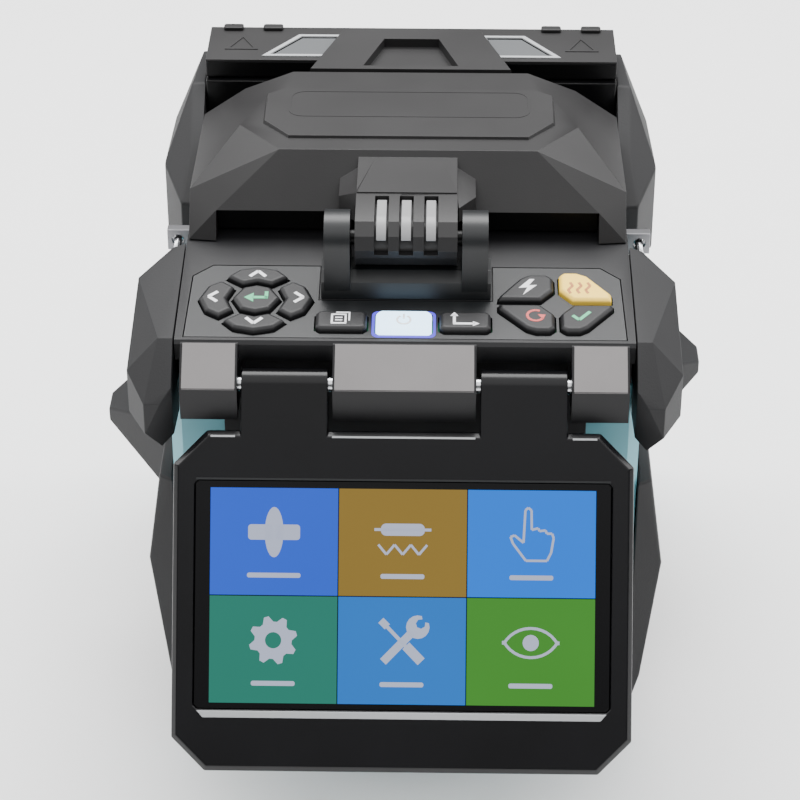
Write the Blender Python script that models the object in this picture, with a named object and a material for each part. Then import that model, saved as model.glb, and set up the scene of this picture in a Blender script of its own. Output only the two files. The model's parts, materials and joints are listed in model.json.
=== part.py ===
"""Fiber fusion splicer: tilting touch display, front-hinged wind cover and rear heater lid.

Dimensions are in millimetres from the display hinge axis, which is at HINGE_Y, HINGE_Z.
The unit stands on z = 0, with +X to the right and +Y to the rear.
"""

import math

import bmesh
import bpy
from mathutils import Matrix, Vector

MM = 0.001

# ---------------------------------------------------------------- dimensions
HINGE_Z = 118.0          # height of the display hinge axis above the table
HINGE_Y = -42.12         # the display hinge axis in the row frame
TILT = 33.0              # display tilt from vertical in the stored pose
BODY_HALF = 60.0         # half width of the lower housing
BODY_FRONT, BODY_BACK = 11.0, 138.0
CASE_HALF = 57.0         # half width of the upper casing
DECK_RISE = 7.0          # slope of the keypad deck
DECK_Z0 = 9.8            # deck height above the hinge axis at y = 2
GAP = 0.35               # running gap between neighbouring pieces
ARC_STEP = 15            # degrees
SHARPEST = 0.35          # keeps a sharp corner from running off when an outline is moved
BORE_PLAY = 0.08         # radial play of a pin in its bore
KEY_PROUD = 1.5
KEY_DEEP = 2.6           # how far a key reaches below the deck
KEY_TAPER = 0.7
PANEL_HALF = 56.7
PANEL_TOP, PANEL_BOTTOM = 11.6, 95.5
LCD_TOP, LCD_BOTTOM = 25.5, 78.7
LCD_HALF = 47.5
ARM_R = 4.0              # rounding of the display arms round their pins
PIN_R = 2.0
BORE_R = PIN_R + BORE_PLAY
COVER_AXIS = (28.0, 26.0)    # y and z of the wind cover hinge, from the display hinge
EAR_R = 7.0
LID_AXIS = (134.5, 29.0)     # y and z of the heater lid hinge
TAN = math.tan(math.radians(DECK_RISE))

# ---------------------------------------------------------------- scene
for old in list(bpy.data.objects):
    bpy.data.objects.remove(old, do_unlink=True)
scene = bpy.context.scene
parts = bpy.data.collections.new("parts")
cutters = bpy.data.collections.new("cutters")
scene.collection.children.link(parts)
scene.collection.children.link(cutters)

COLOURS = {
    "casing": ((0.035, 0.035, 0.038), 0.45, 0.0),
    "housing": ((0.17, 0.45, 0.52), 0.4, 0.0),
    "bumper": ((0.05, 0.05, 0.052), 0.75, 0.0),
    "key": ((0.02, 0.02, 0.022), 0.6, 0.0),
    "display": ((0.015, 0.015, 0.017), 0.3, 0.0),
    "glass": ((0.02, 0.03, 0.05), 0.1, 0.0),
    "steel": ((0.6, 0.6, 0.62), 0.25, 1.0),
    "board": ((0.02, 0.16, 0.06), 0.5, 0.0),
    "lens": ((0.05, 0.07, 0.12), 0.05, 0.0),
}
MATERIALS = {}
for slot, (rgb, rough, metal) in COLOURS.items():
    material = bpy.data.materials.new(slot)
    material.use_nodes = True
    bsdf = material.node_tree.nodes["Principled BSDF"]
    bsdf.inputs["Base Color"].default_value = (*rgb, 1.0)
    bsdf.inputs["Roughness"].default_value = rough
    bsdf.inputs["Metallic"].default_value = metal
    MATERIALS[slot] = material


# ---------------------------------------------------------------- helpers
def at(x, y, z):
    """A point given from the display hinge axis, in metres in the row frame."""
    return (x * MM, (y + HINGE_Y) * MM, (z + HINGE_Z) * MM)


def deck_z(y):
    return DECK_Z0 + (y - 2.0) * TAN


def add(name, bm, slot=None, origin=(0, 0, 0)):
    """Turns a bmesh into an object with its origin on a given point; slot None makes a cutter."""
    place = Vector(at(*origin))
    bmesh.ops.translate(bm, verts=bm.verts, vec=-place)
    bmesh.ops.recalc_face_normals(bm, faces=bm.faces)
    mesh = bpy.data.meshes.new(name)
    bm.to_mesh(mesh)
    bm.free()
    obj = bpy.data.objects.new(name, mesh)
    obj.location = place
    if slot is None:
        cutters.objects.link(obj)
        obj.hide_render = True
        obj.display_type = "WIRE"
    else:
        parts.objects.link(obj)
        mesh.materials.append(MATERIALS[slot])
    return obj


def hull(name, points, slot=None, origin=(0, 0, 0)):
    """The convex solid round the points."""
    bm = bmesh.new()
    for p in points:
        bm.verts.new(at(*p))
    bmesh.ops.convex_hull(bm, input=bm.verts)
    return add(name, bm, slot, origin)


def loft(name, loops, slot=None, origin=(0, 0, 0)):
    """A solid through loops of equal length, with a flat cap on each end."""
    bm = bmesh.new()
    rows = [[bm.verts.new(at(*p)) for p in loop] for loop in loops]
    bm.faces.new(rows[0])
    bm.faces.new(rows[-1])
    for low, high in zip(rows, rows[1:]):
        for i in range(len(low)):
            j = (i + 1) % len(low)
            bm.faces.new((low[i], low[j], high[j], high[i]))
    return add(name, bm, slot, origin)


def along_x(name, outline, x0, x1, slot=None, origin=(0, 0, 0)):
    return loft(name, [[(x, y, z) for y, z in outline] for x in (x0, x1)], slot, origin)


def along_z(name, outline, z0, z1, slot=None, origin=(0, 0, 0)):
    return loft(name, [[(x, y, z) for x, y in outline] for z in (z0, z1)], slot, origin)


def box(name, x0, x1, y0, y1, z0, z1, slot=None, origin=(0, 0, 0)):
    low, high = Vector(at(x0, y0, z0)), Vector(at(x1, y1, z1))
    bm = bmesh.new()
    size = Matrix.Diagonal((*(high - low), 1.0))
    bmesh.ops.create_cube(bm, size=1.0, matrix=Matrix.Translation((low + high) / 2) @ size)
    return add(name, bm, slot, origin)


TURN = {"x": Matrix.Rotation(math.pi / 2, 4, "Y"), "y": Matrix.Rotation(-math.pi / 2, 4, "X"),
        "z": Matrix()}


def cylinder(name, axis, centre, radius, length, slot=None, steps=20, origin=(0, 0, 0)):
    bm = bmesh.new()
    bmesh.ops.create_cone(bm, cap_ends=True, segments=steps, radius1=radius * MM, radius2=radius * MM,
                          depth=length * MM, matrix=Matrix.Translation(at(*centre)) @ TURN[axis])
    return add(name, bm, slot, origin)


def on_deck(name, outline, lo, hi, slot=None):
    """A prism standing on the sloped deck: outline in plan, lo and hi above the deck."""
    low = [(x, y, deck_z(y) + lo) for x, y in outline]
    high = [(x, y, deck_z(y) + hi) for x, y in outline]
    return loft(name, [low, high], slot)


def shrink(outline, by):
    """The outline moved in by that much on every side; it is convex or nearly so."""
    n = len(outline)
    following = outline[1:] + outline[:1]
    area = sum(px * qy - qx * py for (px, py), (qx, qy) in zip(outline, following))
    sign = 1.0 if area > 0 else -1.0
    result = []
    for i in range(n):
        (ax, ay), (bx, by_), (cx, cy) = outline[i - 1], outline[i], outline[(i + 1) % n]
        n1 = (-(by_ - ay) * sign, (bx - ax) * sign)
        n2 = (-(cy - by_) * sign, (cx - bx) * sign)
        l1, l2 = math.hypot(*n1), math.hypot(*n2)
        n1, n2 = (n1[0] / l1, n1[1] / l1), (n2[0] / l2, n2[1] / l2)
        k = by / max(SHARPEST, 1.0 + n1[0] * n2[0] + n1[1] * n2[1])
        result.append((bx + (n1[0] + n2[0]) * k, by_ + (n1[1] + n2[1]) * k))
    return result


def boolean(obj, operation, *tools):
    for tool in tools:
        mod = obj.modifiers.new(operation.lower(), "BOOLEAN")
        mod.operation = operation
        mod.solver = "EXACT"
        mod.object = tool
    return obj


def cut(obj, *tools):
    return boolean(obj, "DIFFERENCE", *tools)


def join(obj, *tools):
    return boolean(obj, "UNION", *tools)


def arc(y, z, radius, start, stop):
    """Points on a circle in the side view, each ARC_STEP degrees."""
    turns = [math.radians(a) for a in range(start, stop, ARC_STEP)]
    return [(y + radius * math.cos(a), z + radius * math.sin(a)) for a in turns]


def both(build):
    """Builds a left and a right piece: build(side_name, sign)."""
    return [build("left", -1), build("right", 1)]


def span(sx, inner, outer):
    """The x range between two distances from the middle plane, on the side of sx."""
    return sorted((sx * inner, sx * outer))


# ---------------------------------------------------------------- lower housing
HOUSING_PLAN = [(-BODY_HALF, 14), (-57, BODY_FRONT), (57, BODY_FRONT), (BODY_HALF, 14),
                (BODY_HALF, 134), (56, BODY_BACK), (-56, BODY_BACK), (-BODY_HALF, 134)]
housing = along_z("lower_housing", HOUSING_PLAN, -112, -6.4, "housing")
cut(housing,
    box("housing_hollow", -56, 56, 15, 134, -108, -5),
    box("battery_bay", -36, 36, 60, 140, -101, -70),
    box("latch_recess", -14, 14, 136, 140, -66, -54),
    box("port_recess", 38.5, 54, 136.5, 140, -60, -40),
    box("vent_a", -54, -42, 133, 140, -60, -57),
    box("vent_b", -54, -42, 133, 140, -52, -49),
    box("vent_c", -54, -42, 133, 140, -44, -41))
bay = box("battery_bay_walls", -38, 38, 62, 136, -107.9, -67)
cut(bay, box("battery_bay_core", -36, 36, 64, 140, -101, -70))
join(housing, bay)
cut(housing, box("battery_bay_clear", -36, 36, 64.5, 140, -101, -70))

box("base_cover", -56, 56, 16, 133, -114.5, -112.2, "casing")
FOOT_R, FOOT_H, FOOT_TOP = 7.0, 3.3, -114.7
for side, sx in (("left", -1), ("right", 1)):
    for end, fy in (("front", 26), ("rear", 123)):
        cylinder(f"foot_{end}_{side}", "z", (sx * 46, fy, FOOT_TOP - FOOT_H / 2), FOOT_R, FOOT_H, "bumper")

# ---------------------------------------------------------------- upper casing
SLOPE_END = 44.0         # y at which the sloped deck meets the flat top
TOP_Z = deck_z(SLOPE_END)
profile = [(11.3, -6), (11.3, 4.0), (4.4, 4.0), (3.4, deck_z(3.4) - 0.8), (4.2, deck_z(4.2)),
           (SLOPE_END, TOP_Z), (114, TOP_Z), (137, TOP_Z), (137, -6)]
casing = along_x("upper_casing", profile, -CASE_HALF, CASE_HALF, "casing")
lug = [(3.1, 9.6), (-5, 1.5), (-5, -7.4), (10.7, -7.4), (10.7, -6.3), (12.5, -4.0), (12.5, 9.6)]
join(casing,
     along_x("lug_centre", lug, -17.7, 17.7),
     along_x("lug_left", lug, -55.4, -41.2),
     along_x("lug_right", lug, 41.2, 55.4))
PLATE = [(-55, 5.2), (-54.4, 30), (-49.4, 34.6), (-21.7, 34.6), (-21.7, 20.6), (21.7, 20.6), (21.7, 34.6),
         (49.4, 34.6), (54.4, 30), (55, 5.2)]
KEY_WINDOW = [(-53.2, 6.0), (-53.2, 30), (-49, 33), (-22.7, 33), (-22.7, 19.2), (22.7, 19.2), (22.7, 33),
              (49, 33), (53.2, 30), (53.2, 6.0)]
BOARD = [(-52.4, 7.4), (-52.4, 29), (-48, 32.2), (-25, 32.2), (-25, 17.8), (25, 17.8), (25, 32.2),
         (48, 32.2), (52.4, 29), (52.4, 7.4)]
cut(casing,
    along_x("front_hollow", [(14, -7), (14, 6.0), (48.5, 11.3), (48.5, -7)], -52, 52),
    box("rear_hollow", -52.5, 52.5, 100.5, 133.5, -7, 11.5),
    box("mid_hollow", -53, 53, 48.4, 100.6, -7, -1.5),
    box("chamber_well", -50, 50, 53, 97.5, 2.0, 30),
    on_deck("plate_recess", PLATE, -1.6, 6),
    on_deck("key_window", KEY_WINDOW, -5.6, 6),
    cylinder("pin_bore", "x", (0, 0, 0), BORE_R, 120))

# ---------------------------------------------------------------- keys and plate
ENTER = [(-43.6, 19.6), (-41.2, 23.9), (-37.6, 25.0), (-34.0, 23.9), (-31.4, 19.6), (-34.0, 15.0),
         (-37.6, 13.8), (-41.2, 15.0)]
NAV_X, NAV_Y = -37.6, 19.4
UP = [(-45.4, 28.2), (-42.6, 31.2), (-37.6, 32.4), (-32.6, 31.2), (-29.8, 28.2), (-33.9, 25.2),
      (-37.6, 26.4), (-41.3, 25.2)]
DOWN = [(x, 2 * NAV_Y - y) for x, y in UP]
LEFT = [(-46.6, 26.6), (-50.0, 24.4), (-52.0, 19.4), (-50.0, 14.4), (-46.6, 12.2), (-43.2, 14.9),
        (-44.9, 19.4), (-43.2, 23.9)]
RIGHT = [(2 * NAV_X - x, y) for x, y in LEFT]
KEYS = {
    "enter": ENTER, "up": UP, "down": DOWN, "left": LEFT, "right": RIGHT,
    "page": [(-22.3, 8.4), (-22.3, 13.6), (-21.2, 14.7), (-10.6, 14.7), (-9.5, 13.6), (-9.5, 8.4),
             (-10.6, 7.4), (-21.2, 7.4)],
    "power": [(-7.3, 7.9), (-7.3, 13.9), (-6.2, 15.0), (5.5, 15.0), (6.6, 13.9), (6.6, 7.9), (5.5, 6.8),
              (-6.2, 6.8)],
    "xy": [(8.5, 8.4), (8.5, 13.6), (9.6, 14.7), (20.2, 14.7), (21.3, 13.6), (21.3, 8.4), (20.2, 7.4),
           (9.6, 7.4)],
    "arc": [(23.2, 19.6), (23.4, 21.2), (28.6, 28.4), (31.0, 30.0), (35.6, 30.0), (37.2, 28.4),
            (37.2, 23.6), (33.8, 19.6)],
    "heat": [(38.6, 23.6), (38.6, 29.6), (39.8, 30.9), (43.2, 30.9), (45.8, 29.6), (51.6, 22.2),
             (51.6, 19.6), (41.9, 19.6)],
    "reset": [(23.2, 17.9), (33.6, 17.9), (37.2, 14.0), (37.2, 8.6), (35.8, 7.3), (32.4, 7.3), (30.0, 8.4),
              (23.2, 16.0)],
    "set": [(38.6, 14.0), (42.0, 17.9), (51.8, 17.9), (51.8, 16.4), (45.4, 8.6), (43.4, 7.3), (40.0, 7.3),
            (38.6, 8.6)],
}
plate = on_deck("keypad_plate", shrink(PLATE, 0.25), -1.5, -0.05, "display")
for name, outline in KEYS.items():
    grown = shrink(outline, -GAP)
    cut(plate, on_deck(f"{name}_hole", grown, -5, 5))
    cx = sum(p[0] for p in outline) / len(outline)
    cy = sum(p[1] for p in outline) / len(outline)
    low = [(x, y, deck_z(y) - KEY_DEEP) for x, y in outline]
    mid = [(x, y, deck_z(y) + KEY_PROUD - KEY_TAPER) for x, y in outline]
    top = [(x, y, deck_z(y) + KEY_PROUD) for x, y in shrink(outline, 0.8)]
    loft(f"key_{name}", [low, mid, top], "key", origin=(cx, cy, deck_z(cy)))
on_deck("keypad_board", BOARD, -5.4, -3.8, "board")

# ---------------------------------------------------------------- display
TILT_COS, TILT_SIN = math.cos(math.radians(TILT)), math.sin(math.radians(TILT))


def tilted(x, along, out):
    """A point of the display: along is the distance down the panel, out is towards its front."""
    return (x, -along * TILT_SIN - out * TILT_COS, -along * TILT_COS + out * TILT_SIN)


def panel(name, outline, lo, hi, slot=None, inset=None, origin=(0, 0, 0)):
    """A prism in the display plane; inset = (amount, depth) chamfers the front edge."""
    loops = [[tilted(x, t, lo) for x, t in outline]]
    if inset:
        loops.append([tilted(x, t, hi - inset[1]) for x, t in outline])
        loops.append([tilted(x, t, hi) for x, t in shrink(outline, inset[0])])
    else:
        loops.append([tilted(x, t, hi) for x, t in outline])
    return loft(name, loops, slot, origin)


def rect(hx, t0, t1, corner=0.0):
    if not corner:
        return [(-hx, t0), (hx, t0), (hx, t1), (-hx, t1)]
    k = corner
    return [(-hx + k, t0), (hx - k, t0), (hx, t0 + k), (hx, t1 - k), (hx - k, t1), (-hx + k, t1),
            (-hx, t1 - k), (-hx, t0 + k)]


bezel = panel("display_bezel", rect(PANEL_HALF, PANEL_TOP, PANEL_BOTTOM, 8.2), -5.6, 4.0, "display",
              inset=(1.3, 1.3))
outline = [tilted(0, -q, p)[1:] for p, q in arc(0, 0, ARM_R, 0, 181)]
outline += [tilted(0, 14.0, -ARM_R)[1:], tilted(0, 14.0, ARM_R)[1:]]
for name, sx in (("left", -1), ("right", 1)):
    join(bezel, along_x(f"arm_{name}", outline, sx * 18.8, sx * 40.2))
cut(bezel,
    panel("lcd_window", rect(LCD_HALF + 0.1, LCD_TOP - 0.1, LCD_BOTTOM + 0.1), -8, 8),
    panel("glass_recess", rect(51.4, 23.6, 80.2, 1.0), 2.9, 8),
    panel("bezel_hollow", rect(53.7, 15.5, 92.5, 6.0), -8, 1.4),
    cylinder("arm_bore", "x", (0, 0, 0), BORE_R, 120))
panel("display_back_cover", rect(PANEL_HALF - 0.6, PANEL_TOP + 2.4, PANEL_BOTTOM - 0.6, 8.0), -9.0, -5.8,
      "display")
panel("lcd_panel", rect(LCD_HALF + 3.0, LCD_TOP - 3.0, LCD_BOTTOM + 3.0), -4.2, 1.1, "glass")
panel("touch_glass", rect(51.1, 23.9, 79.9, 1.0), 3.0, 3.8, "glass")
for name, sx in (("left", -1), ("right", 1)):
    cylinder(f"display_pin_{name}", "x", (sx * 33.0, 0, 0), PIN_R, 40.0, "steel")

# ---------------------------------------------------------------- wind cover hinge block
ay, az = COVER_AXIS
block = along_x("hinge_block", [(21.0, deck_z(21) + 0.1), (21.6, 16.5), (24.6, 18.6), (31.0, 18.6),
                                (34.2, 16.5), (34.2, deck_z(34.2) + 0.1)], -21.3, 21.3, "casing")
ear = [(21.0, 14.5), (34.2, 14.5), (35.0, az), *arc(ay, az, EAR_R, 15, 180), (21.0, az)]
join(block, along_x("ear_left", ear, -20.5, -14.0), along_x("ear_right", ear, 14.0, 20.5))
cut(block, cylinder("cover_pin_bore", "x", (0, ay, az), BORE_R, 60))
cylinder("wind_cover_pin", "x", (0, ay, az), PIN_R, 40, "steel")

# ---------------------------------------------------------------- wind cover
BASE = TOP_Z + GAP       # underside of the wind cover
COVER_REAR = 103.5


def mirror(points):
    return points + [(-x, y, z) for x, y, z in points]


cover = hull("wind_cover", mirror([
    (56.5, 45.2, BASE), (49.4, 44.4, BASE), (49.4, 47.6, 22.5), (56.5, 53.6, 25.6), (33.3, 57.0, 35.5),
    (44.4, 71.5, 35.0), (32.0, COVER_REAR, 35.0), (45.0, 100.0, 31.5), (56.5, 100.0, 23.6),
    (56.5, 100.0, BASE), (32.0, COVER_REAR, BASE)]), "casing", origin=(0, ay, az))
arm = [(22.0, az - 2.5), (21.0, az), (22.0, az + 3.5), (25.0, az + 6.2), (29.0, az + 7.0),
       (36.0, az + 7.5), (58.0, 34.0), (60.0, 30.0), (46.0, 26.0), (36.0, 24.5), (31.0, 20.0),
       (26.0, 19.2)]
hood = [(-13.2, 37.0), (13.2, 37.0), (17.5, 43.0), (17.5, 56.0), (-17.5, 56.0), (-17.5, 43.0)]
hood_top = [(-12.6, 37.2), (12.6, 37.2), (8.6, 55.0), (8.6, 58.0), (-8.6, 58.0), (-8.6, 55.0)]
TOP_PLATE = [(-31.6, 62.7), (31.6, 62.7), (38.8, 71.8), (38.8, 88.0), (34.0, 91.5), (-34.0, 91.5),
             (-38.8, 88.0), (-38.8, 71.8)]
join(cover, along_x("cover_arm", arm, -12.8, 12.8),
     loft("cover_hood", [[(x, y, 25.4) for x, y in hood], [(x, y, 29.5) for x, y in hood],
                         [(x, y, 33.9) for x, y in hood_top]]),
     loft("cover_plate", [[(x, y, 34.0) for x, y in TOP_PLATE],
                          [(x, y, 36.2) for x, y in shrink(TOP_PLATE, 0.8)]]))
SLOT = [(ay - 9, az - 1.5), (ay - 4.8, az - 1.5), *reversed(arc(ay, az, 5.0, 90, 181)),
        (ay + 8, az + 5.6), (ay + 8, az + 12), (ay - 9, az + 12)]
SLOT_HALF = 1.75
cut(cover,
    cylinder("arm_clear", "x", (0, ay, az), BORE_R, 60),
    loft("cover_cavity", [
        [(-53.5, 57, BASE - 3), (53.5, 57, BASE - 3), (53.5, 97.5, BASE - 3), (-53.5, 97.5, BASE - 3)],
        [(-53.5, 57.5, 22.0), (53.5, 57.5, 22.0), (53.5, 97.5, 21.0), (-53.5, 97.5, 21.0)],
        [(-36, 63.5, 32.2), (36, 63.5, 32.2), (36, 96.5, 32.2), (-36, 96.5, 32.2)]]),
    box("front_arch", -49.4, 49.4, 42.0, 60.0, BASE - 3, 22.5),
    *[along_x(f"slot_{i}", SLOT, x - SLOT_HALF, x + SLOT_HALF) for i, x in enumerate((-6.2, 0.0, 6.2))])
box("wind_cover_liner", -30, 30, 66, 94, 30.6, 32.0, "bumper", origin=(0, ay, az))

# ---------------------------------------------------------------- splice chamber
frame = box("chamber_frame", -47, 47, 55, 95.5, 2.2, 6.5, "steel")
cut(frame, box("frame_gap", -6.5, 6.5, 63, 88, 1, 8))
FIBER_Y = 75.5           # y of the fibre line
CLAMP_Y, CLAMP_Z = FIBER_Y + 7.0, 14.0
FIBER_Z = 10.6           # height of the electrode tips


def groove(side, sx):
    g = box(f"v_groove_{side}", *span(sx, 8, 24), FIBER_Y - 8, FIBER_Y + 8, 6.7, 13.0, "steel")
    vee = [(FIBER_Y - 1.2, 14), (FIBER_Y, 12.0), (FIBER_Y + 1.2, 14)]
    return cut(g, along_x(f"v_cut_{side}", vee, *span(sx, 7, 25)))


def clamp(side, sx):
    """The clamp turns about an axis along X at its rear edge."""
    join(frame, box(f"clamp_base_{side}", *span(sx, 28, 44), FIBER_Y - 8, FIBER_Y + 10.5, 6.0, 12.0))
    cut(frame, cylinder(f"clamp_bed_{side}", "x", (sx * 36, CLAMP_Y, CLAMP_Z), 3.3, 18))
    flap = box(f"fiber_clamp_{side}", *span(sx, 28.5, 43.5), FIBER_Y - 5.0, CLAMP_Y, 12.6, 15.4, "casing",
               origin=(0, CLAMP_Y, CLAMP_Z))
    return join(flap, cylinder(f"clamp_barrel_{side}", "x", (sx * 36, CLAMP_Y, CLAMP_Z), 2.6, 15))


both(groove)
both(clamp)


def electrode(end, sy):
    """A rod with a pointed tip, in a holder that is one piece with the frame."""
    near, far = sorted((FIBER_Y + sy * 13.3, FIBER_Y + sy * 19.5))
    join(frame, box(f"electrode_holder_{end}", -8, 8, near, far, 3.0, 13.6))
    rod = cylinder(f"electrode_{end}", "y", (0, FIBER_Y + sy * 9.0, FIBER_Z), 1.5, 8.0, "steel", 14)
    tip = bmesh.new()
    place = Matrix.Translation(at(0, FIBER_Y + sy * 3.6, FIBER_Z))
    bmesh.ops.create_cone(tip, cap_ends=True, segments=14, radius1=1.5 * MM, radius2=0.2 * MM,
                          depth=4.0 * MM, matrix=place @ Matrix.Rotation(sy * math.pi / 2, 4, "X"))
    return join(rod, add(f"electrode_tip_{end}", tip))


electrode("front", -1)
electrode("rear", 1)
cylinder("objective_lens", "z", (0, FIBER_Y, 4.2), 4.6, 4.0, "lens", 24)

# ---------------------------------------------------------------- heater
heater = box("heater_housing", -57, 57, 112.5, 137, TOP_Z + 0.2, 27.6, "casing")
cut(heater,
    box("heater_trough_cut", -44, 44, 117, 129, TOP_Z + 3.0, 40),
    box("heater_knuckle_cut", -57.5, 57.5, 131.0, 138, 24.6, 30))
trough = box("heater_trough", -43.6, 43.6, 117.4, 128.6, TOP_Z + 3.2, 26.0, "steel")
cut(trough, along_x("trough_v", [(118.6, 27), (121.6, 21.5), (124.4, 21.5), (127.4, 27)], -50, 50))
ly, lz = LID_AXIS
WINDOW = [(23.9, 117.8), (39.4, 117.8), (31.0, 129.5), (20.9, 129.5)]
lid = box("heater_lid", -57, 57, 114.6, 135.8, 28.0, 33.2, "casing", origin=(0, ly, lz))
tongue = [[(-28, 104.2, 32.0), (28, 104.2, 32.0), (20, 130, 32.0), (-20, 130, 32.0)],
          [(-27.4, 104.4, 35.6), (27.4, 104.4, 35.6), (19.4, 129, 35.6), (-19.4, 129, 35.6)]]
knuckles = [cylinder(f"knuckle_{i}", "x", (x, ly, lz), 2.6, 19) for i, x in enumerate((-45.5, 45.5))]
webs = [box(f"knuckle_web_{i}", x0, x1, 130, ly, 28.2, 31.4)
        for i, (x0, x1) in enumerate(((-55, -36), (36, 55)))]
join(lid, loft("lid_tongue", tongue), *webs, *knuckles)
cut(lid,
    along_z("finger_pocket", [(-13, 106.5), (13, 106.5), (7.6, 123.6), (-7.6, 123.6)], 33.0, 40.0),
    *[along_z(f"window_cut_{i}", [(sx * x, y) for x, y in WINDOW], 20, 40) for i, sx in enumerate((-1, 1))])
for side, sx in (("left", -1), ("right", 1)):
    along_z(f"heater_window_{side}", [(sx * x, y) for x, y in shrink(WINDOW, 0.3)], 30.4, 33.0, "lens",
            origin=(0, ly, lz))

# ---------------------------------------------------------------- rubber corner guards


def mirrored(points, sx):
    return [(sx * x, y, z) for x, y, z in points]


FRONT_GUARD = [
    (57.3, 44, 14.7), (60.5, 44, 13.5), (61.5, 44, -8.0), (57.3, 44, -9.0), (68.5, 32, 11.3),
    (68.5, 32, -11.0), (68.8, 1, 3.0), (68.8, 1, -9.0), (61.0, 4, 10.6), (57.3, 4, 10.6),
    (64.0, -8, -1.3), (60.0, -8, -1.3), (64.0, -8, -9.9), (60.3, -5, -15.6), (57.3, -3, -13.0),
    (57.3, -5.5, 2.0), (57.3, 12, -15.0), (66.0, 12, -15.6),
]
REAR_GUARD = [
    (57.3, 137.5, 25.0), (59.5, 137.5, 25.0), (61.5, 137.5, 17.0), (61.5, 137.5, -16.0),
    (57.3, 137.5, -16.0), (57.3, 115, 26.0), (61.0, 115, 25.6), (66.3, 116, 14.0), (68.0, 98, 9.4),
    (60.5, 98, 14.6), (57.3, 98, 14.6), (62.5, 84.5, 4.2), (57.3, 84, 4.0), (62.5, 84, -10.0),
    (57.3, 84, -11.0), (68.0, 98, -16.0), (66.3, 116, -18.0), (62.0, 108, -21.0), (57.3, 108, -21.0),
]


def corner_guard(name, points, side, sx, seat_y):
    """A rubber guard on a corner, cut back where it laps over the lower housing."""
    body = hull(f"{name}_{side}", mirrored(points, sx), "bumper")
    return cut(body, box(f"{name}_seat_{side}", *span(sx, 50, 60.3), *seat_y, -40, -6.0))


def side_guard(side, sx):
    """The lower guard with a wing that stands out at its middle."""
    rows = ((-38.0, 64.0, 60.5), (-65.0, 68.0, 62.0), (-103.0, 64.0, 61.5), (-113.0, 61.5, 60.6))
    sections = [mirrored([(60.3, 12.5, z), (xo, 15.0, z), (xo, 60.0, z), (xo, 110.0, z), (60.3, 118.0, z)],
                         sx) for z, xo, _ in rows]
    body = loft(f"side_guard_{side}", sections, "bumper")
    wing_y = 58 if sx < 0 else 85
    wing = [(61.0, wing_y - 26, -33), (61.0, wing_y + 26, -33), (61.0, wing_y + 26, -60),
            (61.0, wing_y - 26, -60)]
    tip = [(81.8, wing_y - 4, -43), (81.8, wing_y + 4, -43), (81.8, wing_y + 4, -47),
           (81.8, wing_y - 4, -47)]
    return join(body, hull(f"wing_{side}", mirrored(wing + tip, sx)))


both(lambda side, sx: corner_guard("front_bumper", FRONT_GUARD, side, sx, (10.7, 60)))
both(lambda side, sx: corner_guard("rear_bumper", REAR_GUARD, side, sx, (60, 140)))
both(side_guard)


RING_R = 5.4


def strap(side, sx):
    """A chrome strap ring that swings on a lug in the side notch."""
    x, y, z = sx * 61.6, 66.0, 4.0
    base = box(f"strap_lug_{side}", *span(sx, 57.2, 64.4), y - 1.4, y + 1.4, z - 3, z + 3, "steel")
    cut(base, cylinder(f"strap_hole_{side}", "y", (x, y, z), 1.6, 18, steps=16))
    bpy.ops.mesh.primitive_torus_add(major_radius=RING_R * MM, minor_radius=1.1 * MM, major_segments=24,
                                     minor_segments=8)
    torus = bpy.context.object
    bm = bmesh.new()
    bm.from_mesh(torus.data)
    bpy.data.objects.remove(torus, do_unlink=True)
    bmesh.ops.transform(bm, verts=bm.verts,
                        matrix=Matrix.Translation(at(x, y, z - RING_R)) @ TURN["x"])
    return base, add(f"strap_ring_{side}", bm, "steel", origin=(x, y, z))


both(strap)

# ---------------------------------------------------------------- battery, boards and ports
battery = box("battery_pack", -35.6, 35.6, 66, 137.6, -100.6, -70.4, "casing")
cut(battery, box("battery_grip", -14, 14, 134.5, 140, -89, -82))
box("battery_latch", -9, 9, 136.6, 138.9, -63.5, -56.5, "bumper")
box("main_board", -50, 50, 20, 128, -40, -38.2, "board")
box("port_cover", 40.4, 53.6, 136.7, 138.6, -59.6, -40.4, "bumper", origin=(41.0, 138.0, -50.0))
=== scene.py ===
"""Looks of the fiber fusion splicer: finishes, key legends, screen picture, trims and grips."""

import json
import math

import bmesh
import bpy
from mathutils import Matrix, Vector


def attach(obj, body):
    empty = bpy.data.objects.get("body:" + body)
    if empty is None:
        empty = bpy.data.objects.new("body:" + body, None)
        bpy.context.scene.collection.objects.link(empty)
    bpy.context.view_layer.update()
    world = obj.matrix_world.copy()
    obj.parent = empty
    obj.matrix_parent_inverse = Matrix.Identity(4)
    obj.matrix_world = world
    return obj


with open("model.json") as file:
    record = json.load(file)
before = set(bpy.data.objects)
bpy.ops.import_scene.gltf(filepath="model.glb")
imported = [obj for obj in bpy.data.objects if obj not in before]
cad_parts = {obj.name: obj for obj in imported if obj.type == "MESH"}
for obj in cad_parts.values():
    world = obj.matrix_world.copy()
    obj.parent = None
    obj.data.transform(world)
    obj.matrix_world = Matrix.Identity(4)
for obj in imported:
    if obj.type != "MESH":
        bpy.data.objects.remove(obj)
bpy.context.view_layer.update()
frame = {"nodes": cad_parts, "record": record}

# ---------------------------------------------------------------- shared sizes
# Millimetres, from the display hinge axis.
MM = 0.001
HINGE_Y, HINGE_Z = -42.12, 118.0
TILT = math.radians(33.0)
DECK_SLOPE = math.tan(math.radians(7.0))
DECK_Z0 = 9.8
KEY_TOP = 1.5
INK_DEEP, INK_PROUD = 0.1, 0.06
SCREEN_OUT = 3.8
LCD_HALF, LCD_TOP, LCD_BOTTOM = 47.5, 25.5, 78.7
COVER_Y, COVER_Z = 28.0, 26.0
NAV_X, NAV_Y = -37.6, 19.4


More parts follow.
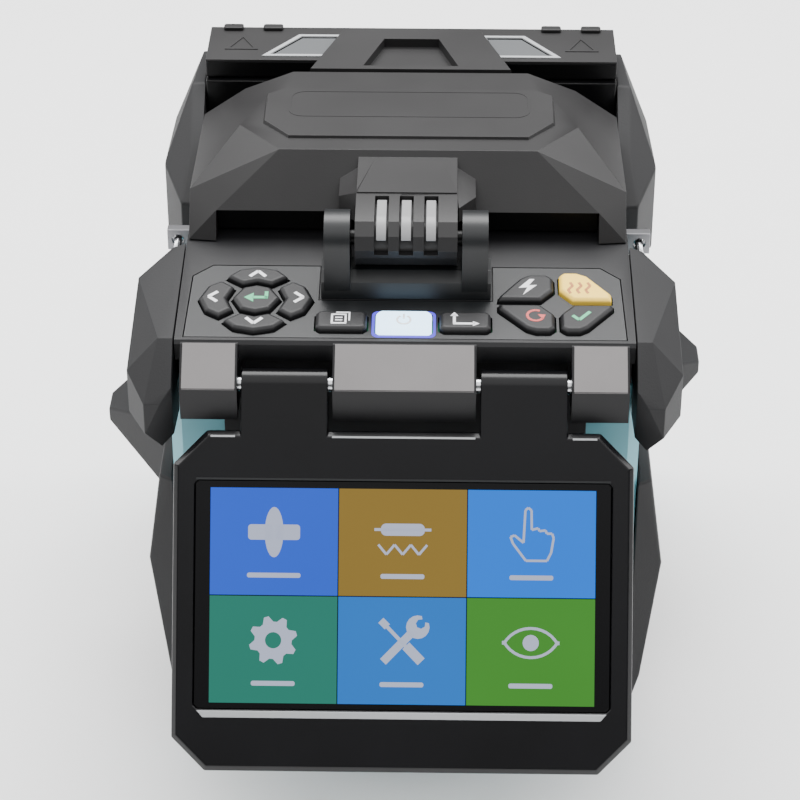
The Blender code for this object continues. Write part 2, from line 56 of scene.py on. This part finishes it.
def at(x, y, z):
    return Vector((x * MM, (y + HINGE_Y) * MM, (z + HINGE_Z) * MM))


def deck(x, y, h):
    """A point h above the key deck."""
    return at(x, y, DECK_Z0 + (y - 2.0) * DECK_SLOPE + h)


def screen(x, along, out):
    """A point of the display, along down the panel and out towards its front."""
    sin, cos = math.sin(TILT), math.cos(TILT)
    return at(x, -along * sin - out * cos, -along * cos + out * sin)


def upright(x, z, y):
    """A point of an upright face across the object: x and z in the face, y its depth."""
    return at(x, y, z)


def across_x(y, z, x):
    """A point of a side profile that is stretched along X."""
    return at(x, y, z)


# ---------------------------------------------------------------- materials
BUMP_HEIGHT = 0.00008    # metres
WEAR_SCALE = 38.0        # size of the uneven patches in a finish
GLOW_SCALE = 26.0        # size of the uneven patches in a light


def shader(name, color, rough, metallic=0.0, **sockets):
    mat = bpy.data.materials.new(name)
    mat.use_nodes = True
    bsdf = mat.node_tree.nodes["Principled BSDF"]
    bsdf.inputs["Base Color"].default_value = (*color, 1.0)
    bsdf.inputs["Roughness"].default_value = rough
    bsdf.inputs["Metallic"].default_value = metallic
    for socket, value in sockets.items():
        bsdf.inputs[socket.replace("_", " ")].default_value = value
    return mat, mat.node_tree, bsdf


def grain(tree, bsdf, scale, strength, distance, rough_low, rough_high, tint=None):
    """Fine moulded texture as bump, with an uneven roughness and a slight drift of the colour."""
    nodes, links = tree.nodes, tree.links
    coords = nodes.new("ShaderNodeTexCoord")
    noise = nodes.new("ShaderNodeTexNoise")
    noise.inputs["Scale"].default_value = scale
    noise.inputs["Detail"].default_value = 3.0
    links.new(coords.outputs["Object"], noise.inputs["Vector"])
    bump = nodes.new("ShaderNodeBump")
    bump.inputs["Strength"].default_value = strength
    bump.inputs["Distance"].default_value = distance
    links.new(noise.outputs["Fac"], bump.inputs["Height"])
    links.new(bump.outputs["Normal"], bsdf.inputs["Normal"])
    wear = nodes.new("ShaderNodeTexNoise")
    wear.inputs["Scale"].default_value = WEAR_SCALE
    wear.inputs["Detail"].default_value = 5.0
    links.new(coords.outputs["Object"], wear.inputs["Vector"])
    span = nodes.new("ShaderNodeMapRange")
    span.inputs["To Min"].default_value = rough_low
    span.inputs["To Max"].default_value = rough_high
    links.new(wear.outputs["Fac"], span.inputs["Value"])
    links.new(span.outputs["Result"], bsdf.inputs["Roughness"])
    if tint is not None:
        ramp = nodes.new("ShaderNodeValToRGB")
        base = tuple(bsdf.inputs["Base Color"].default_value)[:3]
        ramp.color_ramp.elements[0].position = 0.35
        ramp.color_ramp.elements[0].color = (*base, 1.0)
        ramp.color_ramp.elements[1].position = 0.7
        ramp.color_ramp.elements[1].color = (*tint, 1.0)
        links.new(wear.outputs["Fac"], ramp.inputs["Fac"])
        links.new(ramp.outputs["Color"], bsdf.inputs["Base Color"])


def plastic(name, color, rough, tint, bump=0.25, scale=2600.0, **sockets):
    mat, tree, bsdf = shader(name, color, rough, **sockets)
    grain(tree, bsdf, scale, bump, BUMP_HEIGHT, rough - 0.05, rough + 0.07, tint)
    return mat


def glow(name, color, strength, rough=0.3):
    """A lit surface, whose light is a little uneven, as behind a diffuser."""
    mat, tree, bsdf = shader(name, tuple(0.05 * v for v in color), rough, Specular_IOR_Level=0.15)
    grain(tree, bsdf, 900.0, 0.03, 0.00002, rough - 0.04, rough + 0.06)
    coords = tree.nodes.new("ShaderNodeTexCoord")
    noise = tree.nodes.new("ShaderNodeTexNoise")
    noise.inputs["Scale"].default_value = GLOW_SCALE
    ramp = tree.nodes.new("ShaderNodeValToRGB")
    ramp.color_ramp.elements[0].color = (*(0.93 * v for v in color), 1.0)
    ramp.color_ramp.elements[1].color = (*(min(1.0, 1.05 * v) for v in color), 1.0)
    tree.links.new(coords.outputs["Object"], noise.inputs["Vector"])
    tree.links.new(noise.outputs["Fac"], ramp.inputs["Fac"])
    tree.links.new(ramp.outputs["Color"], bsdf.inputs["Emission Color"])
    bsdf.inputs["Emission Strength"].default_value = strength
    return mat


# Dark casing plastic; the same finish also makes a sheet of painted shade over the teal housing.
CASING_AND_SHADE = plastic("casing_plastic_and_painted_shade", (0.007, 0.007, 0.008), 0.40, (0.010, 0.010, 0.011),
                 Specular_IOR_Level=0.26)
COVER = plastic("cover_plastic", (0.016, 0.0155, 0.016), 0.42, (0.020, 0.0195, 0.020),
                Specular_IOR_Level=0.30)
# Light grey for the sheets on the lug slopes: a painted highlight.
LUG_HIGHLIGHT = plastic("lug_painted_highlight", (0.175, 0.165, 0.165), 0.36, (0.20, 0.189, 0.189), 0.15)
TEAL = plastic("teal_plastic", (0.12, 0.36, 0.42), 0.42, (0.14, 0.39, 0.45), 0.15)
RUBBER = plastic("guard_rubber", (0.013, 0.013, 0.014), 0.60, (0.017, 0.017, 0.018), 0.5, 1800.0,
                 Specular_IOR_Level=0.28)
KEY = plastic("key_rubber", (0.007, 0.007, 0.008), 0.45, (0.010, 0.010, 0.011), 0.3, 2200.0,
              Specular_IOR_Level=0.35)
HEAT_KEY = plastic("heat_key_rubber", (0.97, 0.64, 0.07), 0.5, (0.99, 0.67, 0.09), 0.2, 2200.0)
BEZEL = plastic("display_plastic", (0.003, 0.003, 0.0035), 0.22, (0.004, 0.004, 0.005), 0.05, 2600.0,
                Specular_IOR_Level=0.25)
# Black plastic; the same finish also makes black sheets of painted shade in shadowed recesses.
BLACK_AND_SHADE = plastic("black_plastic_and_painted_shade", (0.0025, 0.0025, 0.003), 0.30, (0.004, 0.004, 0.004), 0.1,
                Specular_IOR_Level=0.2)
PLATE = plastic("plate_plastic", (0.008, 0.009, 0.010), 0.33, (0.011, 0.012, 0.013), 0.12,
                Specular_IOR_Level=0.4)
GLASS, glass_tree, glass_bsdf = shader("screen_glass", (0.0015, 0.0015, 0.002), 0.07, Specular_IOR_Level=0.2)
grain(glass_tree, glass_bsdf, 30.0, 0.02, 0.0001, 0.05, 0.10)
CHROME, chrome_tree, chrome_bsdf = shader("bright_steel", (0.62, 0.63, 0.65), 0.22, 1.0)
grain(chrome_tree, chrome_bsdf, 900.0, 0.1, 0.00005, 0.16, 0.30)
DARK_STEEL, dark_tree, dark_bsdf = shader("dark_steel", (0.22, 0.22, 0.23), 0.3, 1.0)
grain(dark_tree, dark_bsdf, 900.0, 0.1, 0.00005, 0.25, 0.38)
# Silver trims; the same finish also makes the painted highlight lines on the display's top edge.
SILVER_AND_HIGHLIGHT = plastic("silver_paint_and_painted_highlight", (0.36, 0.37, 0.38), 0.32, (0.40, 0.41, 0.42), 0.1)
GREY_BAR = plastic("grey_bar", (0.22, 0.22, 0.225), 0.35, (0.26, 0.26, 0.265), 0.1)
BOARD = plastic("solder_mask", (0.02, 0.16, 0.06), 0.4, (0.03, 0.19, 0.08), 0.1)
LENS, lens_tree, lens_bsdf = shader("smoked_lens", (0.10, 0.105, 0.11), 0.12, Coat_Weight=0.5)
grain(lens_tree, lens_bsdf, 60.0, 0.03, 0.0001, 0.08, 0.16)
WHITE_INK = plastic("white_ink", (0.80, 0.80, 0.82), 0.45, (0.74, 0.74, 0.77), 0.05)
GREEN_INK = plastic("green_ink", (0.05, 0.42, 0.20), 0.45, (0.07, 0.47, 0.24), 0.05)
RED_INK = plastic("red_ink", (0.50, 0.05, 0.045), 0.45, (0.56, 0.07, 0.06), 0.05)
ORANGE_INK = plastic("orange_ink", (0.45, 0.16, 0.03), 0.45, (0.50, 0.19, 0.05), 0.05)
POWER = glow("power_key_lit", (0.52, 0.76, 1.0), 5.0)
HALO = glow("power_halo", (0.12, 0.09, 1.0), 1.6)

NODE_LOOK = {
    "casing": CASING_AND_SHADE, "housing": TEAL, "bumper": RUBBER, "key": KEY, "display": BEZEL,
    "glass": GLASS, "steel": CHROME, "board": BOARD, "lens": LENS,
}
SPECIAL = {
    "wind_cover": COVER, "heater_lid": COVER, "key_heat": HEAT_KEY, "key_power": POWER, "keypad_plate": PLATE,
    "wind_cover_liner": RUBBER, "hinge_block": PLATE, "heater_housing": BLACK_AND_SHADE, "wind_cover_pin": BLACK_AND_SHADE,
    "strap_lug_left": DARK_STEEL, "strap_lug_right": DARK_STEEL,
}
# Edge rounding in millimetres, by slot and for single nodes.
EDGE = {
    "casing": 0.5, "housing": 0.8, "bumper": 1.4, "key": 0.35, "display": 0.5,
    "glass": 0.15, "steel": 0.15, "board": 0.1, "lens": 0.2,
}
NODE_EDGE = {
    "wind_cover": 0.8, "heater_lid": 0.6, "fiber_clamp_left": 0.3, "fiber_clamp_right": 0.3,
    "keypad_plate": 0.12, "upper_casing": 0.45, "battery_latch": 0.3, "port_cover": 0.3,
    "wind_cover_liner": 0.2,
}


def dress(obj, slot_name):
    """Softened edges and a finish on a CAD node."""
    obj.data.materials.clear()
    obj.data.materials.append(SPECIAL.get(obj.name, NODE_LOOK[slot_name]))
    weld = obj.modifiers.new("weld", "WELD")
    weld.merge_threshold = 0.00001
    flat = obj.modifiers.new("planar", "DECIMATE")
    flat.decimate_type = "DISSOLVE"
    flat.angle_limit = math.radians(0.6)
    round_edges = obj.modifiers.new("edges", "BEVEL")
    round_edges.width = NODE_EDGE.get(obj.name, EDGE[slot_name]) * MM
    round_edges.segments = 3
    round_edges.limit_method = "ANGLE"
    round_edges.angle_limit = math.radians(18)
    round_edges.harden_normals = False
    shade(obj)


def shade(obj):
    for poly in obj.data.polygons:
        poly.use_smooth = True
    normals = obj.modifiers.new("normals", "WEIGHTED_NORMAL")
    normals.keep_sharp = True
    normals.weight = 80


slots = {row["node"]: row["material_slot"] for row in frame["record"]["subparts"]}
for node_name, node in frame["nodes"].items():
    dress(node, slots[node_name])


# ---------------------------------------------------------------- pieces
def piece(name, mesh_parts, mat, body, edge=0.0):
    """One object from a list of (points, faces), riding on a body."""
    bm = bmesh.new()
    for points, faces in mesh_parts:
        verts = [bm.verts.new(p) for p in points]
        for f in faces:
            bm.faces.new([verts[i] for i in f])
    bmesh.ops.recalc_face_normals(bm, faces=bm.faces)
    mesh = bpy.data.meshes.new(name)
    bm.to_mesh(mesh)
    bm.free()
    obj = bpy.data.objects.new(name, mesh)
    bpy.context.scene.collection.objects.link(obj)
    mesh.materials.append(mat)
    if edge:
        mod = obj.modifiers.new("edges", "BEVEL")
        mod.width = edge * MM
        mod.segments = 2
        mod.limit_method = "ANGLE"
        mod.angle_limit = math.radians(30)
        shade(obj)
    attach(obj, body)
    return obj


def prism(place, outline, low, high, top=None):
    """(points, faces) of an outline raised from low to high through a placing function."""
    n = len(outline)
    points = [place(u, v, low) for u, v in outline] + [place(u, v, high) for u, v in (top or outline)]
    faces = [tuple(range(n)), tuple(range(n, 2 * n))]
    faces += [(i, (i + 1) % n, n + (i + 1) % n, n + i) for i in range(n)]
    return points, faces


def ring(place, outer, inner, low, high):
    """(points, faces) of the band between two outlines with the same count of points."""
    n = len(outer)
    bands = ((outer, low), (inner, low), (inner, high), (outer, high))
    loops = [[place(u, v, h) for u, v in outline] for outline, h in bands]
    points = [p for loop in loops for p in loop]
    faces = []
    for k in range(4):
        m = (k + 1) % 4
        faces += [(k * n + i, k * n + (i + 1) % n, m * n + (i + 1) % n, m * n + i) for i in range(n)]
    return points, faces


def arc(cx, cy, r, a0, a1, steps, ry=None):
    ry = r if ry is None else ry
    turns = [math.radians(a0 + (a1 - a0) * i / steps) for i in range(steps + 1)]
    return [(cx + r * math.cos(a), cy + ry * math.sin(a)) for a in turns]


def circle(cx, cy, r, steps=24, ry=None):
    return arc(cx, cy, r, 0, 360, steps, ry)[:-1]


def bar(x0, y0, x1, y1, width):
    """The outline of a straight stroke."""
    d = Vector((x1 - x0, y1 - y0)).normalized() * (width / 2)
    return [(x0 - d.y, y0 + d.x), (x0 + d.y, y0 - d.x), (x1 + d.y, y1 - d.x), (x1 - d.y, y1 + d.x)]


def stroke(points, width):
    return [bar(*points[i], *points[i + 1], width) for i in range(len(points) - 1)]


def rounded(x0, y0, x1, y1, r, steps=5):
    return (arc(x1 - r, y1 - r, r, 0, 90, steps) + arc(x0 + r, y1 - r, r, 90, 180, steps)
            + arc(x0 + r, y0 + r, r, 180, 270, steps) + arc(x1 - r, y0 + r, r, 270, 360, steps))


def legend(name, outlines, mat, key):
    parts = [prism(deck, o, KEY_TOP - INK_DEEP, KEY_TOP + INK_PROUD) for o in outlines]
    return piece(name, parts, mat, f"press_{key}")


# Key legends: plain signs in place of words.
def chevron(cx, cy, turn, size=2.0):
    pts = [(-size, -size * 0.55), (0, size * 0.55), (size, -size * 0.55)]
    ca, sa = math.cos(turn), math.sin(turn)
    return stroke([(cx + x * ca - y * sa, cy + x * sa + y * ca) for x, y in pts], 0.9)


legend("legend_up", chevron(NAV_X, 28.9, 0), WHITE_INK, "up")
legend("legend_down", chevron(NAV_X, 9.9, math.pi), WHITE_INK, "down")
legend("legend_left", chevron(-48.4, NAV_Y, math.pi / 2), WHITE_INK, "left")
legend("legend_right", chevron(-26.8, NAV_Y, -math.pi / 2), WHITE_INK, "right")
legend("legend_enter", [[(-40.6, 19.2), (-38.2, 21.0), (-38.2, 17.4)], bar(-38.4, 19.2, -34.6, 19.2, 1.0),
                        bar(-35.0, 18.8, -35.0, 21.6, 0.9)], GREEN_INK, "enter")
SHEET = [(-18.2, 9.2, -18.2, 12.6, 0.5), (-18.4, 9.2, -14.6, 9.2, 0.5), (-14.8, 9.2, -14.8, 12.6, 0.5),
         (-18.4, 12.6, -14.6, 12.6, 0.5), (-17.4, 11.4, -15.6, 11.4, 0.4), (-17.4, 10.4, -15.6, 10.4, 0.4),
         (-17.2, 13.4, -13.8, 13.4, 0.4), (-13.9, 10.2, -13.9, 13.5, 0.4)]
legend("legend_page", [bar(*line) for line in SHEET], WHITE_INK, "page")
AXIS_HEADS = [[(11.2, 12.4), (13.2, 12.4), (12.2, 13.9)], [(16.8, 8.5), (16.8, 10.3), (18.4, 9.4)]]
legend("legend_axes", [bar(12.2, 9.4, 12.2, 12.9, 0.7), bar(11.9, 9.4, 17.4, 9.4, 0.7)] + AXIS_HEADS,
       WHITE_INK, "xy")
BOLT = [(31.2, 27.6), (28.4, 24.0), (30.6, 24.2), (29.4, 21.2), (33.0, 25.2), (30.9, 25.0), (32.4, 27.6)]
legend("legend_arc", [BOLT], WHITE_INK, "arc")
WAVE = [(43.6, 22.0), (43.0, 23.4), (44.2, 25.0), (43.6, 26.4)]
legend("legend_heat", [o for dx in (-2.2, 0, 2.2) for o in stroke([(x + dx, y) for x, y in WAVE], 0.7)],
       ORANGE_INK, "heat")
RESET_HEAD = [(34.9, 13.2), (32.9, 13.4), (34.2, 11.3)]
legend("legend_reset", stroke(arc(32.4, 12.9, 2.1, 60, 330, 10), 0.7) + [RESET_HEAD], RED_INK, "reset")
legend("legend_set", stroke([(41.6, 13.0), (43.2, 11.3), (46.0, 14.6)], 0.9), GREEN_INK, "set")
POWER_SIGN = stroke(arc(-0.35, 10.7, 1.7, 120, 420, 10), 0.5) + [bar(-0.35, 11.2, -0.35, 13.0, 0.5)]
legend("legend_power", POWER_SIGN, WHITE_INK, "power")

# Light around the power key.
HALO_OUTER, HALO_INNER = rounded(-8.3, 5.7, 7.6, 16.0, 1.6), rounded(-7.62, 6.5, 6.95, 15.3, 1.2)
piece("power_halo", [ring(deck, HALO_OUTER, HALO_INNER, -0.2, INK_PROUD)], HALO, "body")

# ---------------------------------------------------------------- screen picture
TILE_W = 2 * LCD_HALF / 3
TILE_H = (LCD_BOTTOM - LCD_TOP) / 2
TILES = [
    ("splice", 0, 0, (0.030, 0.115, 0.80)),
    ("sleeve", 1, 0, (0.29, 0.185, 0.036)),
    ("touch", 2, 0, (0.006, 0.21, 1.0)),
    ("settings", 0, 1, (0.022, 0.21, 0.155)),
    ("tools", 1, 1, (0.018, 0.19, 0.68)),
    ("info", 2, 1, (0.058, 0.28, 0.034)),
]
ICON = glow("icon_light", (0.62, 0.68, 0.88), 0.85)


def on_screen(name, outlines, mat, low=0.0, high=0.06):
    parts = [prism(screen, o, SCREEN_OUT + low, SCREEN_OUT + high) for o in outlines]
    return piece(name, parts, mat, "display")


centres = {}
TILE_GAP = 0.12
for tile, column, row, color in TILES:
    x0 = -LCD_HALF + column * TILE_W
    y0 = LCD_TOP + row * TILE_H
    left, right = x0 + TILE_GAP, x0 + TILE_W - TILE_GAP
    high, low = y0 + TILE_GAP, y0 + TILE_H - TILE_GAP
    on_screen(f"tile_{tile}", [[(left, high), (right, high), (right, low), (left, low)]],
              glow(f"tile_{tile}_light", color, 1.0, 0.25), -0.05, 0.03)
    centres[tile] = (x0 + TILE_W / 2, y0 + 11.0)
    width = 5.4 if tile != "splice" else 6.6
    middle = x0 + TILE_W / 2
    on_screen(f"label_{tile}", [rounded(middle - width, y0 + 21.0, middle + width, y0 + 22.2, 0.5)], ICON)

cx, cy = centres["splice"]
on_screen("icon_splice", [rounded(cx - 6.4, cy - 1.9, cx - 0.3, cy + 1.9, 0.8),
                          rounded(cx + 0.3, cy - 1.9, cx + 6.4, cy + 1.9, 0.8),
                          circle(cx, cy, 2.3, 28, 6.2)], ICON)
cx, cy = centres["sleeve"]
zigzag = [(cx - 6 + 2.0 * i, cy + 4.0 + (1.2 if i % 2 else -1.2)) for i in range(7)]
on_screen("icon_sleeve", [rounded(cx - 5.4, cy - 2.4, cx + 5.4, cy + 0.6, 1.3),
                          bar(cx - 7, cy - 0.9, cx + 7, cy - 0.9, 0.7)]
          + stroke(zigzag, 0.6), ICON)
cx, cy = centres["touch"]
HAND = [(-1.6, -6.0), (-0.9, -6.6), (-0.1, -6.0), (0, -1.2), (1.6, -1.6), (1.9, -0.9), (3.4, -1.1),
        (3.7, -0.3), (5.0, -0.3), (5.4, 0.8), (4.8, 4.4), (3.8, 6.4), (-1.4, 6.4), (-4.6, 2.2), (-5.2, 0.6),
        (-4.2, 0.2), (-2.0, 2.0), (-1.6, -6.0)]
on_screen("icon_touch", stroke([(cx + x, cy + y) for x, y in HAND], 0.6), ICON)
cx, cy = centres["settings"]
teeth = []
for i in range(32):
    r = 6.0 if (i // 2) % 2 else 4.6
    a = math.radians(i * 11.25)
    teeth.append((cx + r * math.cos(a), cy + r * math.sin(a)))
piece("icon_settings", [ring(screen, teeth, circle(cx, cy, 2.0, 32), SCREEN_OUT, SCREEN_OUT + 0.06)], ICON,
      "display")
cx, cy = centres["tools"]
on_screen("icon_tools", [bar(cx - 4.6, cy + 5.0, cx + 2.6, cy - 2.4, 2.0),
                         bar(cx - 4.6, cy - 4.6, cx + 1.0, cy + 1.2, 0.9),
                         bar(cx + 1.0, cy + 1.0, cx + 4.8, cy + 4.9, 2.4),
                         bar(cx - 5.2, cy - 5.2, cx - 3.6, cy - 3.6, 1.8)]
          + [arc(cx + 3.9, cy - 3.6, 2.9, -20, 290, 14) + arc(cx + 4.6, cy - 4.4, 1.2, 290, -20, 6)], ICON)
cx, cy = centres["info"]
eye = arc(cx, cy + 3.4, 7.4, 205, 335, 12, 7.0) + arc(cx, cy - 3.4, 7.4, 25, 155, 12, 7.0)
on_screen("icon_info", stroke(eye + eye[:1], 0.7) + [circle(cx, cy, 2.0, 20)], ICON)

# Trims of the display, and a painted highlight along its top edge.
piece("screen_groove", [prism(screen, [(-51, 23.2), (51, 23.2), (51, 23.7), (-51, 23.7)], 3.9, 4.1)], PLATE,
      "display")
LINE_FOOT = [(-50.4, 80.5), (50.4, 80.5), (48.6, 82.7), (-48.6, 82.7)]
LINE_TOP = [(-50.4, 80.5), (50.4, 80.5), (49.6, 81.3), (-49.6, 81.3)]
piece("bright_line", [prism(screen, LINE_FOOT, 3.8, 4.35, LINE_TOP)], SILVER_AND_HIGHLIGHT, "display", 0.1)

# Painted highlight: bright strips along the panel's top edge, beside and between the arms.
for name, x0, x1 in (("left", -47.5, -41.5), ("centre", -17.6, 17.6), ("right", 41.5, 47.5)):
    piece(f"top_edge_highlight_{name}", [prism(screen, [(x0, 12.75), (x1, 12.75), (x1, 13.2), (x0, 13.2)], 3.6, 4.1)],
          SILVER_AND_HIGHLIGHT, "display")

# ---------------------------------------------------------------- wind cover details
BAR_OUT, BAR_IN, BAR_HALF = 6.6, 5.15, 1.25
sweep = [math.radians(a) for a in range(22, 91, 8)]
bar_band = [(COVER_Y - BAR_OUT * math.cos(a), COVER_Z + BAR_OUT * math.sin(a)) for a in sweep]
bar_band += [(COVER_Y + 7.2, COVER_Z + BAR_OUT + 0.2), (COVER_Y + 7.2, COVER_Z + 5.7)]
bar_band += [(COVER_Y - BAR_IN * math.cos(a), COVER_Z + BAR_IN * math.sin(a)) for a in reversed(sweep)]
for i, x in enumerate((-6.2, 0.0, 6.2)):
    piece(f"hinge_bar_{i}", [prism(across_x, bar_band, x - BAR_HALF, x + BAR_HALF)], GREY_BAR,
          "wind_cover_body", 0.2)
PANEL = rounded(-32, 74.4, 32, 89.5, 4.0)
piece("plate_line", [ring(at, PANEL, rounded(-31.4, 75.0, 31.4, 88.9, 3.6), 36.0, 36.28)], COVER,
      "wind_cover_body")

# ---------------------------------------------------------------- heater lid details
WINDOW = [(23.9, 117.8), (39.4, 117.8), (31.0, 129.5), (20.9, 129.5)]
WINDOW_RIM = [(22.9, 116.7), (41.6, 116.7), (31.8, 130.6), (20.0, 130.6)]
for name, sx in (("left", -1), ("right", 1)):
    rim, opening = ([(sx * x, y) for x, y in outline] for outline in (WINDOW_RIM, WINDOW))
    piece(f"window_frame_{name}", [ring(at, rim, opening, 32.9, 33.5)], SILVER_AND_HIGHLIGHT, "heater_lid_body",
          0.12)
    tx = sx * 47.5
    piece(f"lid_emboss_{name}", [ring(at, [(tx - 4.7, 121.0), (tx + 4.7, 121.0), (tx, 130.4)],
                                      [(tx - 3.3, 121.9), (tx + 3.3, 121.9), (tx, 128.6)], 33.1, 33.45)],
          COVER, "heater_lid_body", 0.1)
    for i, bump in enumerate((39.3, 50.5)):
        x0, x1 = sorted((sx * (bump - 2.8), sx * (bump + 2.8)))
        piece(f"lid_bump_{name}_{i}", [prism(at, rounded(x0, 133.2, x1, 136.0, 0.8), 33.0, 34.2)], COVER,
              "heater_lid_body", 0.3)

# Light grey sheets on the top slopes of the display lugs: a painted highlight where the slopes catch the
# light from above.
LUG_TOP = [(3.25, 9.75), (-4.95, 1.6), (-5.05, 1.2), (3.1, 9.3)]
for name, x0, x1 in (("left", -54.9, -41.7), ("centre", -17.2, 17.2), ("right", 41.7, 54.9)):
    piece(f"lug_slope_highlight_{name}", [prism(across_x, LUG_TOP, x0, x1)], LUG_HIGHLIGHT, "body", 0.1)

# A black sheet behind the front arch of the wind cover: painted shade in the recess there.
piece("cover_recess_painted_shade", [prism(upright, [(-49.1, 15.7), (49.1, 15.7), (49.1, 22.4), (-49.1, 22.4)], 50.4, 51.4)],
      BLACK_AND_SHADE, "wind_cover_body")
# A dark sheet over the teal housing behind the display's top edge, between the teal corners: painted shade
# where the housing lies in shadow.
piece("housing_painted_shade", [prism(upright, [(-46, -34.0), (46, -34.0), (46, -6.6), (-46, -6.6)], 10.6, 11.1)],
      CASING_AND_SHADE, "body", 0.1)
STRIP = [(-56.6, 28.3), (56.6, 28.3), (56.6, 32.5), (-56.6, 32.5)]
piece("lid_front_strip", [prism(upright, STRIP, 114.25, 114.7)], BLACK_AND_SHADE, "heater_lid_body")
# A black sheet on the casing top between the wind cover's rear and the housing: painted shade.
REAR_SHADE_OUTLINE = [(-56.6, 104.4), (56.6, 104.4), (56.6, 112.2), (-56.6, 112.2)]
piece("rear_painted_shade", [prism(at, REAR_SHADE_OUTLINE, 14.9, 15.2)], BLACK_AND_SHADE, "body")

# ---------------------------------------------------------------- grips on the guards
def side_face(sx):
    return lambda u, v, h: at(sx * h, u, v)


for name, sx in (("left", -1), ("right", 1)):
    ribs = []
    for i in range(9):
        z = -76.0 - 3.4 * i
        x_out = 68.0 - (abs(z) - 65.0) * 4.0 / 38.0
        rib = [(70, z), (106, z + 5.0), (106, z + 6.6), (70, z + 1.6)]
        ribs.append(prism(side_face(sx), rib, x_out - 1.6, x_out + 0.35))
    piece(f"grip_ribs_{name}", ribs, RUBBER, "body", 0.25)

# Ribs on the right wing.
WING_Y = 85.0
wing_ribs = []
for i in range(6):
    y = WING_Y - 14 + 5.6 * i
    reach = 61.0 + 20.8 * (1 - abs(y - WING_Y) / 26.0) - 0.6
    wing_ribs.append([at(61.5, y - 0.7, -33.6), at(61.5, y + 0.7, -33.6),
                      at(reach, y + 0.7, -42.6), at(reach, y - 0.7, -42.6)])
SLAB = [(0, 1, 2, 3), (4, 5, 6, 7), (0, 1, 5, 4), (1, 2, 6, 5), (2, 3, 7, 6), (3, 0, 4, 7)]
RIB_RISE = Vector((0.0002, 0, 0.0007))
piece("wing_ribs_right", [(quad + [p + RIB_RISE for p in quad], SLAB) for quad in wing_ribs],
      RUBBER, "body")

# Four upright ridges on each rear bumper.
for name, sx in (("left", -1), ("right", 1)):
    grip = []
    for i in range(4):
        y = 101.5 + 3.4 * i
        ridge = [(y, -14), (y + 1.6, -14), (y + 1.6, 6), (y, 6)]
        grip.append(prism(side_face(sx), ridge, 65.8, 67.9 - 0.055 * (y - 98)))
    piece(f"rear_grip_{name}", grip, RUBBER, "body", 0.2)

# ---------------------------------------------------------------- back and side details
for i, (x, z) in enumerate(((-50, -20), (50, -20), (-50, -98), (50, -98))):
    head = prism(upright, circle(x, z, 2.2, 20), 137.6, 138.3)
    piece(f"back_screw_{i}", [head], CHROME, "body", 0.15)
for i in range(5):
    x0 = -6.3 + 2.8 * i
    rib = prism(upright, rounded(x0, -62.4, x0 + 1.4, -57.6, 0.5), 138.7, 139.2)
    piece(f"latch_rib_{i}", [rib], RUBBER, "latch")

# ---------------------------------------------------------------- floor, lights and camera
bpy.ops.mesh.primitive_plane_add(size=6.0, location=(0, 0, 0))
floor = bpy.context.object
floor.name = "floor"
floor.data.materials.append(plastic("pale_floor", (0.94, 0.94, 0.94), 0.8, (0.95, 0.95, 0.95), 0.02))

world = bpy.context.scene.world or bpy.data.worlds.new("world")
bpy.context.scene.world = world
world.use_nodes = True
sky = world.node_tree.nodes
# A bright ceiling over darker studio walls, so that upright faces stay dark.
direction = sky.new("ShaderNodeTexCoord")
split = sky.new("ShaderNodeSeparateXYZ")
walls = sky.new("ShaderNodeMapRange")
walls.interpolation_type = "SMOOTHSTEP"
walls.inputs["From Min"].default_value = 0.25
walls.inputs["From Max"].default_value = 0.85
walls.inputs["To Min"].default_value = 0.14
walls.inputs["To Max"].default_value = 2.3
world.node_tree.links.new(direction.outputs["Generated"], split.inputs["Vector"])
world.node_tree.links.new(split.outputs["Z"], walls.inputs["Value"])
world.node_tree.links.new(walls.outputs["Result"], sky["Background"].inputs["Strength"])
sky["Background"].inputs["Color"].default_value = (1.0, 1.0, 1.0, 1.0)


def area(name, location, target, size, power, color=(1, 1, 1)):
    data = bpy.data.lights.new(name, "AREA")
    data.shape = "RECTANGLE"
    data.size, data.size_y = size
    data.energy = power
    data.color = color
    lamp = bpy.data.objects.new(name, data)
    lamp.location = location
    lamp.rotation_euler = (Vector(target) - Vector(location)).to_track_quat("-Z", "Y").to_euler()
    bpy.context.scene.collection.objects.link(lamp)


area("top_softbox", (0.0, 0.35, 0.95), (0, 0.02, 0.1), (0.9, 0.5), 16)
area("left_softbox", (-0.8, 0.25, 0.55), (0, 0, 0.1), (0.25, 0.8), 4)
area("right_softbox", (0.8, 0.25, 0.55), (0, 0, 0.1), (0.25, 0.8), 4)

AZIMUTH, ELEVATION = math.radians(1.0), math.radians(33.0)
DISTANCE = 0.650
across = Vector((math.cos(AZIMUTH), math.sin(AZIMUTH), 0))
back = Vector((math.sin(AZIMUTH) * math.cos(ELEVATION), -math.cos(AZIMUTH) * math.cos(ELEVATION),
               math.sin(ELEVATION)))
upward = back.cross(across)
aim = at(0, 0, 0) - across * 0.0011 - upward * 0.0037
camera_data = bpy.data.cameras.new("camera")
camera_data.sensor_width = 36.0
camera_data.lens = 118.3
camera = bpy.data.objects.new("camera", camera_data)
camera.location = aim + back * DISTANCE
camera.rotation_euler = (-back).to_track_quat("-Z", "Y").to_euler()
bpy.context.scene.collection.objects.link(camera)
bpy.context.scene.camera = camera
